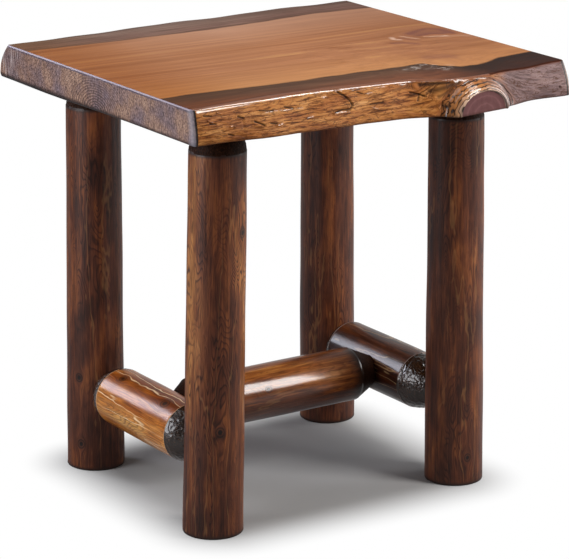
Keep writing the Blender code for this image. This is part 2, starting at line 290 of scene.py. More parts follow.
# The swirl round the knot on the top face, and a dull patch by the stub, as lines of (x, y) points with
# half their width and their tone, from -1 for the darkest to 1 for the palest
TOP_STROKES = tuple((metres(line), metres(half_width), tone) for line, half_width, tone in (
    (((224.5, 5), (255, 8), (275, -2)), 18, -0.65),
    (((224.5, 13.7), (246.6, 25.5), (266.3, 31.1), (280.2, 16.1), (279, -16.9)), 5.5, -0.8),
    (((228, -6), (248, -2), (268, -11)), 5, -0.7),
    (((185.7, 1.3), (181.6, -10.9), (188, -16.5)), 4, 1.2),
    (((203.5, 2.4), (207.1, -11.2), (212.1, -23)), 5, 0.8),
    (((195, -8), (200, -20), (208, -32)), 5, -0.8),
    (((166.4, -33), (177.9, -36), (190.4, -52.4)), 7, -0.8),
    (((230.2, -15.2), (239.8, -21.3), (258.8, -26.2)), 4, 0.9),
    (((260, -30), (276, -34), (288, -45)), 8, 0.35),
    (((152, -140.6), (165, -142), (178, -148.8)), 15, -0.6),
))
# Scratches across the front band, along a line of (x, y) points
SCUFF = metres(((80, -191), (110, -186), (131, -183), (127, -212)))
SCUFF_REACH = 0.012
MARK_REACH = 0.01  # no mark or ridge reaches further than this from its line
FULL_DARK_DEPTH = 0.0009  # a mark this deep is painted fully dark

# Inner limits of the dark sapwood bands on the top face, as (x, y) points
FRONT_BAND = metres((
    (-295, -176), (-233, -172), (-107, -177), (-18, -173), (48, -171), (81, -172), (118, -169),
    (129, -192), (150, -213), (174, -216), (200, -207), (229, -192), (260, -186), (295, -181)))
REAR_BAND = metres((
    (-295, 192), (-167, 187), (-97, 190), (-5, 189), (138, 207), (207, 215), (295, 211)))


def line_gap(point, line):
    """Distance from a point to a line of points."""
    nearest = 1.0
    for start, end in zip(line, line[1:]):
        run = (end[0] - start[0], end[1] - start[1])
        off = (point[0] - start[0], point[1] - start[1])
        share = (off[0] * run[0] + off[1] * run[1]) / (run[0] ** 2 + run[1] ** 2)
        share = min(max(share, 0), 1)
        nearest = min(nearest, math.hypot(off[0] - run[0] * share, off[1] - run[1] * share))
    return nearest


def bark_relief(x, z, side):
    """Height of the fine furrows of a debarked live edge, in metres."""
    wander = 0.003 * noise.noise((x / 0.05, 3 * side, z / 0.02))
    furrows = noise.noise((x / 0.04, 5 * side, (z + wander) / 0.0045))
    fine = noise.noise((x / 0.014, 9 * side, (z + wander) / 0.0026))
    dents = max(noise.noise((x / 0.03, 13 * side, z / 0.008)) - 0.2, 0)
    ledges = noise.noise((x / 0.022, 17 * side, (z + wander) / 0.0055))
    ledges = smooth(abs(ledges), 0.0, 0.16)
    return 0.0003 * furrows + 0.0002 * fine - 0.0008 * dents + 0.0004 * ledges


def collar_height(radius):
    """Height of the collar above the stub's sawn face: a lip, then ringed bark falling away."""
    share = (radius - STUB_FACE_RADIUS) / COLLAR_WIDTH
    if share < 0:
        return 0.0
    ridges = 0.0006 * math.cos(2 * math.pi * (COLLAR_RINGS * share - 0.5))
    return (0.003 * (1 - share) + ridges) * smooth(share, 0, 0.12) - 0.02 * share**1.5


slab_mesh = bmesh.new()
bmesh.ops.create_cube(slab_mesh, size=1)
slab_size = (RIGHT_END - LEFT_END, REAR_LINE - FRONT_LINE, THICKNESS)
bmesh.ops.scale(slab_mesh, verts=slab_mesh.verts, vec=slab_size)
slab_middle = (0, (REAR_LINE + FRONT_LINE) / 2, (TOP + UNDER) / 2)
bmesh.ops.translate(slab_mesh, verts=slab_mesh.verts, vec=slab_middle)
for axis, cuts, shortest in ((0, 200, 0.1), (1, 76, 0.1), (2, 24, 0.02)):  # length, width, thickness
    along = [e for e in slab_mesh.edges if abs(e.verts[0].co[axis] - e.verts[1].co[axis]) > shortest]
    bmesh.ops.subdivide_edges(slab_mesh, edges=along, cuts=cuts, use_grid_fill=True)
slab_mesh.normal_update()
for axis in (0, 2):  # the front edge, whose checks are narrow, gets a finer mesh
    at_front = {edge for face in slab_mesh.faces if face.normal.y < -0.5 for edge in face.edges}
    along = [e for e in at_front if abs(e.verts[0].co[axis] - e.verts[1].co[axis]) > 1e-4]
    bmesh.ops.subdivide_edges(slab_mesh, edges=along, cuts=2, use_grid_fill=True)

# Faces take their finish from the side of the plank that they lie on; the sawn ends wrap the corners
slab_mesh.normal_update()
for face in slab_mesh.faces:
    across = [abs(part) for part in face.normal]
    end_wrap = END_WRAP_EDGE if across[1] > 0.5 else END_WRAP_TOP
    near_end = RIGHT_END - abs(face.calc_center_median().x) < end_wrap
    face.material_index = LIVE_EDGE if across[1] > 0.5 else HONEY
    if across[0] > 0.5 or near_end:
        face.material_index = END_GRAIN

slab_points = np.array([v.co for v in slab_mesh.verts])
slab_points[:, 0] = crowded(
    slab_points[:, 0], ((STUB_X, 0.06, 1), (LEFT_END, 0.01, 2), (RIGHT_END, 0.01, 2)))
slab_points[:, 1] = crowded(
    slab_points[:, 1],
    ((FRONT_LINE, 0.012, 7), (REAR_LINE, 0.014, 6), (-0.19, 0.03, 0.8), (0, 0.06, 1)))
slab_points[:, 2] = crowded(slab_points[:, 2], ((TOP, 0.006, 2), (UNDER, 0.004, 1)))

grain_layer = slab_mesh.verts.layers.float_vector.new("grain")
front_layer, rear_layer, stub_layer, mark_layer, stroke_layer, ridge_layer, scuff_layer = (
    slab_mesh.verts.layers.float.new(name)
    for name in ("front_band", "rear_band", "stub_radius", "mark", "stroke", "ridge", "scuff"))
on_arris = set()
for vert, (x, y, z) in zip(slab_mesh.verts, slab_points):
    drop = min(max((TOP - z) / THICKNESS, 0), 1)
    from_edge = y - FRONT_LINE if y < 0 else REAR_LINE - y
    from_end, from_top, from_under = RIGHT_END - abs(x), TOP - z, z - UNDER
    corner_round, end_round = LEFT_CORNER_ROUND, LEFT_END_ROUND
    if x > 0:
        corner_round, end_round = RIGHT_CORNER_ROUND, RIGHT_END_ROUND
    top_round = FRONT_ROUND if y < 0 else REAR_ROUND
    on_edge = smooth(top_round - from_edge, 0, top_round)
    on_front, on_rear = (on_edge, 0) if y < 0 else (0, on_edge)
    from_edge, from_end = eased(from_edge, from_end, corner_round)
    if drop < 0.5:
        rounded = eased(from_edge, from_top, top_round)
        if rounded != (from_edge, from_top) and (y > 0 or x < 0.155):
            on_arris.add(vert)
        from_edge, from_top = rounded
        from_end, from_top = eased(from_end, from_top, end_round)
        z = TOP - from_top
    else:
        under_round = UNDER_ROUND + 0.004 * smooth(-x, 0.15, 0.28) * smooth(y, 0.1, 0.24)
        from_edge, from_under = eased(from_edge, from_under, under_round)
        from_end, from_under = eased(from_end, from_under, under_round)
        z = UNDER + from_under
    x = math.copysign(RIGHT_END - from_end, x)
    y = FRONT_LINE + from_edge if y < 0 else REAR_LINE - from_edge
    drop = min(max((TOP - z) / THICKNESS, 0), 1)
    to_front = smooth(-EDGE_FADE - y, 0, -EDGE_FADE - FRONT_LINE)
    to_rear = smooth(y - EDGE_FADE, 0, REAR_LINE - EDGE_FADE)
    new_y = y - front_reach(x, drop) * to_front + rear_reach(x, drop) * to_rear
    vert[front_layer] = np.interp(x, *zip(*FRONT_BAND)) + 0.003 * noise.noise((x / 0.03, 0, 0)) - new_y
    vert[rear_layer] = new_y - np.interp(x, *zip(*REAR_BAND)) + 0.003 * noise.noise((x / 0.04, 9, 0))
    z -= under_sag(x, y) * smooth(drop, 0.4, 1)
    radius = stub_radius(x, z) if on_front > 0 else 1.0
    mark = ridge = stroke = scuff = relief = 0.0
    if on_front > 0:
        ringed = smooth(radius, COLLAR_RADIUS, STUB_FACE_RADIUS + 2 * COLLAR_WIDTH)
        calm = 1 - 0.55 * smooth(x, 0.19, 0.23)
        relief = bark_relief(x, z, -1) * ringed * calm * smooth(from_top, 0.002, 0.01)
        for line, half_width, depth in FRONT_MARKS:
            if min(line)[0] - MARK_REACH < x < max(line)[0] + MARK_REACH:
                near = line_gap((x, z), line) / half_width
                mark = max(mark, min(depth / FULL_DARK_DEPTH, 1) * hump(near, 0.9))
                relief -= depth * (hump(near, 0.9) - 0.45 * hump(near - 2.2, 0.8))
        for line in FRONT_RIDGES:
            if min(line)[0] - MARK_REACH < x < max(line)[0] + MARK_REACH:
                ridge = max(ridge, hump(line_gap((x, z), line), 0.0008))
        relief += (0.0014 - 0.0009 * smooth(x, LEFT_END, LEFT_END + 0.14)) * ridge
        new_y -= relief * on_front
        if radius < COLLAR_RADIUS:
            sawn = STUB_FACE_Y + STUB_SLOPE * (x - STUB_X)
            worn = 0.0002 * noise.noise((x / 0.006, 0, z / 0.006))
            collar_y = sawn - collar_height(radius) - worn
            new_y = new_y + (min(new_y, collar_y) - new_y) * on_front
    if on_rear > 0:
        new_y += bark_relief(x, z, 1) * on_rear
    if drop < 0.05 and x > 0.13:
        for line, half_width, tone in TOP_STROKES:
            stroke += tone * hump(line_gap((x, new_y), line) / half_width, 1.0)
    if drop < 0.05:
        scuff = hump(line_gap((x, new_y), SCUFF), SCUFF_REACH)
    vert[mark_layer] = mark
    vert[ridge_layer] = ridge
    vert[stroke_layer] = stroke
    vert[scuff_layer] = scuff
    vert[stub_layer] = radius
    vert[grain_layer] = (x, past_knots(x, y, TOP_KNOTS), past_knots(x, z, EDGE_KNOTS if y < 0 else ()))
    vert.co = (x, new_y, z)
slab_mesh.normal_update()
for face in slab_mesh.faces:  # lacquer stands thick on the arris, the collar and the ridges
    on_collar = all(STUB_FACE_RADIUS < vert[stub_layer] < COLLAR_RADIUS for vert in face.verts)
    on_ridge = face.normal.z > 0.4 and all(vert[ridge_layer] > 0.25 for vert in face.verts)
    rounded = all(vert in on_arris for vert in face.verts)
    if face.material_index != END_GRAIN and (on_collar or on_ridge or rounded):
        face.material_index = LACQUERED


def finished_piece(name, mesh, finishes):
    """Makes a bmesh the visual piece of the CAD node of that name."""
    bmesh.ops.recalc_face_normals(mesh, faces=mesh.faces)
    data = bpy.data.meshes.new(name)
    mesh.to_mesh(data)
    mesh.free()
    data.shade_smooth()
    for finish in finishes:
        data.materials.append(finish)
    piece = bpy.data.objects.new(name + "_wood", data)
    scene.collection.objects.link(piece)
    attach(piece, "root")
    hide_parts(name)


# Planed pine under honey stain and satin lacquer: quiet streaks along the plank, a swirl round a knot,
# and stain that took darker on the sapwood along the live edges
honey_pine, add = new_finish("planed_pine_honey_stain")
grain = add("Attribute", attribute_name="grain", out="Vector")
at_x = add("SeparateXYZ", {"Vector": add("TexCoord", out="Object")}, out="X")
streaks, fibre, sap = grain_figures(add, grain, (
    ((0.5, 0.016, 0.016), 4, 0.55), ((0.1, 0.0028, 0.0028), 3, 0.6),
    ((0.11, 0.009, 0.009), 4, 0.6, 0.6)))
honey = add("ValToRGB", (streaks,), stops={
    0.28: "#9A6038", 0.45: "#AC724B", 0.58: "#B67B53", 0.74: "#C68E5A"})
front_inside, rear_inside, stroke, scuff = (
    add("Attribute", attribute_name=name, out="Fac")
    for name in ("front_band", "rear_band", "stroke", "scuff"))
sunlit = add("MapRange", (front_inside, -0.11, 0, 0, 0.55))
honey = add("Mix", {0: sunlit, 6: honey, 7: "#D0935A"}, **COLOUR)
# Painted sheen: the top turns paler and pinker towards the rear band, growing in from x -0.2 to x 0
painted_sheen = add("MapRange", (rear_inside, -0.14, -0.01, 0, 0.75))
right_share = add("MapRange", (at_x, -0.2, 0))
painted_sheen = add("MULTIPLY", (painted_sheen, right_share))
honey = add("Mix", {0: painted_sheen, 6: honey, 7: "#C8987C"}, **COLOUR)
duller = add("MapRange", (at_x, 0.02, 0.26))
honey = add("Mix", {0: duller, 6: honey, 7: "#E4DED8"}, **TINT)
darker = add("MapRange", (at_x, 0.06, 0.17))
fibre_tone = add("ValToRGB", (fibre,), stops={0.25: "#B0A498", 0.6: "#FFFFFF"})
honey = add("Mix", {0: 0.4, 6: honey, 7: fibre_tone}, **TINT)
sap_tone = add("ValToRGB", (sap,), stops={0.32: "#A89A92", 0.5: "#DED4CC", 0.66: "#FFFFFF"})
stain_wander = add("SUBTRACT", (streaks, 0.5))
stain_wander = add("MULTIPLY", (stain_wander, 0.012))
for inside, at_right, stops in (
    (front_inside, "#82695A",
     {0: "#503726", 0.1: "#624430", 0.35: "#704D38", 0.65: "#815036", 1: "#8A5436"}),
    (rear_inside, "#DCD2CE",
     {0: "#7A5A48", 0.2: "#967467", 0.6: "#92776A", 1: "#856F66"}),
):
    inside = add("ADD", (inside, stain_wander))
    share = add("MapRange", (inside, 0, BAND_WIDTH))
    tone = add("ValToRGB", (share,), stops=stops)
    for strength, tint in ((darker, at_right), (0.8, fibre_tone), (0.7, sap_tone)):
        tone = add("Mix", {0: strength, 6: tone, 7: tint}, **TINT)
    cover = add("MapRange", (inside, -0.003, 0.003))
    honey = add("Mix", {0: cover, 6: honey, 7: tone}, **COLOUR)
warmer = add("MapRange", (at_x, -0.15, -0.26))
honey = add("Mix", {0: warmer, 6: honey, 7: "#EDDAB6"}, **TINT)
pale = add("MapRange", (stroke, 0.1, 1, 0, 0.65))
dark = add("MapRange", (stroke, -0.1, -1, 0, 0.9))
scratches, = grain_figures(add, grain, (((0.014, 0.0018, 1), 2),), Rotation=(0, 0, 0.5))
scratches = add("MapRange", (scratches, 0.58, 0.66))
scratches = add("MULTIPLY", (scratches, scuff))
for share, tone in ((dark, "#774639"), (pale, "#DCB8A2"), (scratches, "#D8CBC2")):
    honey = add("Mix", {0: share, 6: honey, 7: tone}, **COLOUR)
rough = add("MapRange", (fibre, 0, 1, 0.38, 0.52))
lacquer(add, honey, rough, (fibre, 0.12, 0.0004), 0.05)


def debarked_finish(name, rough_low, rough_high, bump, specular, coat):
    """Debarked sapwood under a golden brown stain that gathers in the furrows: gold on the ridges, near
    black in the checks and between the collar's rings. It glints only where lacquer stands thick."""
    material, add = new_finish(name)
    grain = add("Attribute", attribute_name="grain", out="Vector")
    place = add("TexCoord", out="Object")
    at_x, at_y, at_z = add("SeparateXYZ", (place,)).node.outputs
    patches, furrows, cracks = grain_figures(add, grain, (
        ((0.07, 0.012, 0.012), 4, 0.6), ((0.026, 0.0022, 0.0022), 5, 0.66, 0.5),
        ((0.022, 0.0042, 0.0042), 2, 0.6, 0.8)))
    gold = add("ValToRGB", (patches,), stops={
        0.28: "#7A4620", 0.42: "#A66A36", 0.55: "#BC8246", 0.68: "#CA965E", 0.8: "#B2845A"})
    plum = add("ValToRGB", (patches,), stops={
        0.3: "#665458", 0.5: "#7C686A", 0.7: "#927C7C"})
    to_right = add("MULTIPLY_ADD", (patches, 0.06, at_x))
    to_right = add("MapRange", (to_right, 0.182, 0.214))
    at_front = add("MapRange", (at_y, 0.05, -0.05))
    to_right = add("MULTIPLY", (to_right, at_front))
    gold = add("Mix", {0: to_right, 6: gold, 7: plum}, **COLOUR)
    furrow_tone = add("ValToRGB", (furrows,), stops={
        0.3: "#3C2614", 0.41: "#947658", 0.52: "#F0E2D2", 0.7: "#FFFFFF"})
    furrow_share = add("MapRange", (to_right, 0, 1, 0.95, 0.6))
    gold = add("Mix", {0: furrow_share, 6: gold, 7: furrow_tone}, **TINT)
    cracks = add("SUBTRACT", (cracks, 0.5))
    cracks = add("ABSOLUTE", (cracks,))
    cracks = add("MapRange", (cracks, 0.026, 0.008, 0, 0.75))
    gold = add("Mix", {0: cracks, 6: gold, 7: "#4A2810"}, **COLOUR)
    radius = add("Attribute", attribute_name="stub_radius", out="Fac")
    wobble = add("SUBTRACT", (patches, 0.5))
    wavy = add("MULTIPLY_ADD", (wobble, 0.013, radius))
    folds = add("TexNoise", {"Vector": place, "Scale": 1 / 0.01, "Detail": 1})
    folds = add("SUBTRACT", (folds, 0.5))
    fold_depth = add("MapRange", (at_x, STUB_X, STUB_X - 0.045, 0.002, 0.01))
    wavy = add("MULTIPLY_ADD", (folds, fold_depth, wavy))
    ring_share = add("MapRange", (wavy, STUB_FACE_RADIUS, COLLAR_RADIUS))
    # The collar's rings are palest by the lip: light bark, partly a painted highlight of the glossy lip
    rings = add("ValToRGB", (ring_share,), stops={
        0: "#E0CABC", 0.25: "#CCA484", 0.5: "#B27A46", 1: "#A4683A"})
    duller = add("MapRange", (at_x, STUB_X, STUB_X + 0.04, 0, 0.8))
    rings = add("Mix", {0: duller, 6: rings, 7: plum}, **COLOUR)
    ring_turn = add("MULTIPLY", (ring_share, COLLAR_RINGS))
    ring_turn = add("FRACT", (ring_turn,))
    ring_lines = add("ValToRGB", (ring_turn,), stops={
        0: "#22140C", 0.1: "#22140C", 0.26: "#ECE2D8", 0.8: "#FFFFFF", 1: "#4A3424"})
    rings = add("Mix", {0: 0.95, 6: rings, 7: ring_lines}, **TINT)
    rings = add("Mix", {0: 0.5, 6: rings, 7: furrow_tone}, **TINT)
    at_collar = add("MapRange", (wavy, COLLAR_RADIUS + 0.003, COLLAR_RADIUS))
    sawn_rings = add("DIVIDE", (radius, STUB_RING_PITCH))
    sawn_rings = add("MULTIPLY_ADD", (furrows, 1.2, sawn_rings))
    sawn_rings = add("PINGPONG", (sawn_rings, 1))
    stub_tone = add("ValToRGB", (sawn_rings,), stops={
        0: "#5E3C3C", 0.7: "#634040", 1: "#6E4A4A"})
    on_face = add("MapRange", (radius, STUB_FACE_RADIUS, STUB_FACE_RADIUS - 0.0008))
    # Marks are near black: stain in the checks and scars, painted shade in the broad strokes under the
    # arris
    mark = add("Attribute", attribute_name="mark", out="Fac")
    top_stain = add("MapRange", (at_z, TOP - 0.0035, TOP - 0.001))
    stained = add("Mix", {0: to_right, 6: "#7C4C34", 7: "#56301F"}, **COLOUR)
    # Painted shade: near black along the bottom of the edge, over the last 4 mm above the underside
    painted_shade_below = add("MapRange", (at_z, UNDER + 0.004, UNDER, 0, 0.8))
    for share, tone in (
        (at_collar, rings), (on_face, stub_tone), (mark, "#24130A"), (top_stain, stained),
        (painted_shade_below, "#3A2012"),
    ):
        gold = add("Mix", {0: share, 6: gold, 7: tone}, **COLOUR)
    rough = add("MapRange", (furrows, 0.3, 0.7, rough_high, rough_low))
    lacquer(add, gold, rough, (furrows, bump, 0.0008), specular, coat)
    return material


live_edge_pine = debarked_finish(
    "debarked_pine_golden_stain", rough_low=0.42, rough_high=0.65, bump=0.55, specular=0.12, coat=0)
lacquered_pine = debarked_finish(
    "debarked_pine_thick_lacquer", rough_low=0.12, rough_high=0.2, bump=0.06, specular=0.5, coat=0.5)

# Sawn end grain, which drinks the stain: growth rings round the pith, torn speckle, crossing saw marks,
# painted shade towards the bottom, and a rubbed, paler arris on top that also carries a painted
# highlight, with a dark line below it, and a worn front corner with a painted sheen
end_grain_pine, add = new_finish("sawn_end_grain_pine")
place = add("TexCoord", out="Object")
at_x, at_y, at_z = add("SeparateXYZ", (place,)).node.outputs
clouds = add("TexNoise", {"Vector": place, "Scale": 1 / 0.04, "Detail": 3})
speckle = add("TexNoise", {"Vector": place, "Scale": 1 / 0.0028, "Detail": 3, "Roughness": 0.7})
bend = add("TexNoise", {"Vector": place, "Scale": 1 / 0.05, "Detail": 2}, out=1)
bend = add("VectorMath", (bend, (0.5, 0.5, 0.5)), operation="SUBTRACT")
bend = add("VectorMath", (bend, (0.006, 0.006, 0.006), place), operation="MULTIPLY_ADD")
from_pith = add("Mapping", {
    "Vector": bend, "Location": (0, -PITH_Y / RING_STRETCH, -PITH_Z),
    "Scale": (0, 1 / RING_STRETCH, 1)})
ring_radius = add("VectorMath", (from_pith,), out=1, operation="LENGTH")
ring_turn = add("DIVIDE", (ring_radius, RING_PITCH))
ring_turn = add("FRACT", (ring_turn,))
sawn = add("ValToRGB", (clouds,), stops={
    0.32: "#8E7C82", 0.46: "#A0867F", 0.56: "#B0907C", 0.68: "#C0A08A"})
rings = add("ValToRGB", (ring_turn,), stops={
    0: "#FFFFFF", 0.45: "#E8DEDA", 0.8: "#78655F", 0.93: "#78655F", 1: "#FFFFFF"})
ring_strength = add("MapRange", (ring_radius, 0.012, 0.06, 1, 0.3))
sawn = add("Mix", {0: ring_strength, 6: sawn, 7: rings}, **TINT)
speckle_tone = add("ValToRGB", (speckle,), stops={
    0.34: "#4E4246", 0.48: "#CFC2C0", 0.6: "#FFFFFF"})
sawn = add("Mix", {0: 0.8, 6: sawn, 7: speckle_tone}, **TINT)
to_rear = add("MapRange", (at_y, 0.04, 0.22))
sawn = add("Mix", {0: to_rear, 6: sawn, 7: "#DAD2D2"}, **TINT)
at_rear = add("MapRange", (at_y, 0.19, 0.25, 0, 0.4))
for turn in (52, -48):
    slant = (math.radians(turn), 0, 0)
    saw_marks, = grain_figures(add, place, (((1, 0.0024, 0.03), 2),), Rotation=slant)
    saw_tone = add("ValToRGB", (saw_marks,), stops={0.36: "#8C7C7A", 0.5: "#FFFFFF"})
    sawn = add("Mix", {0: 0.3, 6: sawn, 7: saw_tone}, **TINT)
    crossing = add("MapRange", (saw_marks, 0.58, 0.64))
    crossing = add("MULTIPLY", (crossing, at_rear))
    sawn = add("Mix", {0: crossing, 6: sawn, 7: "#D8CAC4"}, **COLOUR)
ragged = add("TexNoise", {"Vector": place, "Scale": 1 / 0.009, "Detail": 2})
height = add("MULTIPLY_ADD", (ragged, 0.003, at_z))
height = add("MapRange", (height, UNDER + 0.0015, TOP + 0.0015))
shade = add("ValToRGB", (height,), stops={0: "#3E302C", 0.05: "#8A7C78", 0.13: "#FFFFFF"})
sawn = add("Mix", {0: 1, 6: sawn, 7: shade}, **TINT)
arris_line = add("ValToRGB", (height,), stops={
    0.905: "#000000", 0.928: "#FFFFFF", 0.948: "#FFFFFF", 0.962: "#000000"})
broken = add("MapRange", (clouds, 0.38, 0.52, 0.2, 0.85))
arris_line = add("MULTIPLY", (arris_line, broken))
side = add("MapRange", (at_x, -0.01, 0.01))
# Rounded front corner: worn, with a pale bluish painted sheen at the left end, darker at the right end
corner_tone = add("Mix", {0: side, 6: "#98949F", 7: "#4E423F"}, **COLOUR)
corner = add("Attribute", attribute_name="grain", out="Vector")
corner_x, corner_y, _ = add("SeparateXYZ", (corner,)).node.outputs
worn = add("MapRange", (corner_y, FRONT_LINE + 0.014, FRONT_LINE + 0.005, 0, 0.55))
# Arris on top: rubbed, with a pale lilac painted highlight at the left end and a dark strip at the
# right
rubbed_and_painted_light = add("MapRange", (at_z, TOP - 0.0021, TOP - 0.0014, 0, 0.9))
arris_tone = add("Mix", {0: side, 6: "#A69CAC", 7: "#3E302E"}, **COLOUR)
seam = add("ABSOLUTE", (corner_x,))
seam = add("MapRange", (seam, RIGHT_END - 0.003, RIGHT_END - 0.0044))
for share, tone in (
    (arris_line, "#3A3850"), (worn, corner_tone), (rubbed_and_painted_light, arris_tone), (seam, "#1E1614"),
):
    sawn = add("Mix", {0: share, 6: sawn, 7: tone}, **COLOUR)
rough = add("MapRange", (speckle, 0, 1, 0.34, 0.55))
lacquer(add, sawn, rough, (speckle, 0.3, 0.0008), 0.4)

slab_finishes = (honey_pine, live_edge_pine, end_grain_pine, lacquered_pine)
finished_piece("slab_top", slab_mesh, slab_finishes)


# Legs
# Four peeled pine logs, stained dark and lacquered, standing butt end down on their own sawn ends. A
# tenon cutter left a rough rounded shoulder at the top of each, and its tenon is glued into the slab.

LEG_SEAT, LEG_SHOULDER, LEG_TENON_TOP = 0.5642, 0.0365, 0.5965
LEG_FOOT_RADIUS, LEG_TOP_RADIUS = 0.04125, 0.0385
FOOT_EASE = 0.002
LEG_TORN_DEPTH = 0.0012
ROUND_SHOULDER = 1.75  # the power of the curve that the cutter follows
TENON_RADIUS, LAND_RADIUS = 0.022, 0.025
TENON_CHAMFER = 0.002
LOG_SIDES = 144
STATION_PITCH, SHOULDER_PITCH, TORN_PITCH = 0.003, 0.0013, 0.0032


def shoulder_line(log_radius, start, seat, curve):
    """Points of a cutter's shoulder, from the log's full radius down to the square land at its seat."""
    count = max(round(abs(seat - start) / SHOULDER_PITCH), 6)
    shares = [step / count for step in range(count + 1)]
    drop = log_radius - LAND_RADIUS
    return [(log_radius - drop * s**curve, start + (seat - start) * s) for s in shares]


def tenon_line(seat, end):
    """Points of a round tenon with a chamfered tip."""
    chamfer = math.copysign(TENON_CHAMFER, end - seat)
    tip = TENON_RADIUS - TENON_CHAMFER
    return [(TENON_RADIUS, seat), (TENON_RADIUS, end - chamfer), (tip, end), (0, end)]


def log_line(first_radius, last_radius, start, end):
    """Points along a peeled log's side."""
    count = round(abs(end - start) / STATION_PITCH)
    return [(first_radius + (last_radius - first_radius) * s / count, start + (end - start) * s / count)
            for s in range(1, count)]


def turn_from(degrees, angle):
    """The turn to an angle, the short way round."""
    return (angle - math.radians(degrees) + math.pi) % (2 * math.pi) - math.pi


def peeled_log(profile, low, high, knots, worn, seed, torn_depth):
    """Turns a log about Z from its profile, then gives its side the peeler's slow unevenness and knots,
    and the shoulders below low and above high the cutter's torn grain. Worn zones are (angle, half
    width in degrees, middle, half length, strength): gold where the stain was rubbed back and where
    light is painted on the sides that face the lamps, and painted shade where the strength is below 0."""
    mesh = bmesh.new()
    points = [mesh.verts.new((radius, 0, along)) for radius, along in profile]
    edges = [mesh.edges.new(pair) for pair in zip(points, points[1:])]
    bmesh.ops.spin(
        mesh, geom=points + edges, axis=(0, 0, 1), cent=(0, 0, 0), angle=2 * math.pi, steps=LOG_SIDES,
        use_merge=True,
    )
    bmesh.ops.remove_doubles(mesh, verts=mesh.verts, dist=1e-6)
    grain_layer = mesh.verts.layers.float_vector.new("grain")
    knot_layer, rim_layer, gold_layer = (
        mesh.verts.layers.float.new(name) for name in ("knot", "rim", "gold"))
    for face in mesh.faces:
        middle = face.calc_center_median()
        ragged = 0.004 * noise.noise((middle.x / 0.03, middle.y / 0.03, seed))
        beyond_land = math.hypot(middle.x, middle.y) > LAND_RADIUS
        on_side = low - ragged < middle.z < high + ragged and beyond_land
        face.material_index = 0 if on_side else 1
    for vert in mesh.verts:
        x, y, along = vert.co
        radius = math.hypot(x, y)
        if radius < 1e-5:
            continue
        angle = math.atan2(y, x)
        outward = Vector((x / radius, y / radius, 0))
        nearest, bent = 9.0, angle
        for knot_along, degrees, knot_radius in knots:
            turn = turn_from(degrees, angle)
            off, run = turn * radius, (along - knot_along) / 1.5
            apart = math.hypot(off, run) / knot_radius
            nearest = min(nearest, math.hypot(off, run * 1.5 / 1.15) / knot_radius)
            if apart < 7:
                bent -= turn * min(1 / max(apart, 0.05), 1) ** 2 * (1 - smooth(apart, 3, 7))
        vert[grain_layer] = (radius * math.cos(bent), radius * math.sin(bent), along + seed)
        vert[knot_layer] = nearest
        vert[rim_layer] = min(along - low, high - along)
        # Worn zones: lighter for wear and painted light, darker for painted shade where the strength is
        # below 0
        for degrees, spread, zone_middle, zone_reach, strength in worn:
            turn = turn_from(degrees, angle)
            rubbed_and_painted_light = strength * hump(turn, math.radians(spread))
            vert[gold_layer] += rubbed_and_painted_light * hump(along - zone_middle, zone_reach, 4)
        if radius > LAND_RADIUS + 0.0005 or low <= along <= high:
            rise = 0.0007 * noise.noise(outward * 1.3 + Vector((0, 0, along / 0.09 + seed * 31)))
            rise += 0.0003 * noise.noise(outward * 4 + Vector((0, 0, along / 0.13 + seed * 17)))
            rise += 0.0002 * hump(nearest, 1.3) - 0.0004 * hump(nearest, 0.6)
            torn = smooth(max(low - along, along - high), 0, 0.002)
            pebble = noise.voronoi(Vector((x, y, along)) / TORN_PITCH)[0][0]  # distance from its middle
            rise = rise * (1 - torn) - torn * torn_depth * pebble
            if along > 0.003:
                vert.co += outward * rise
    return mesh


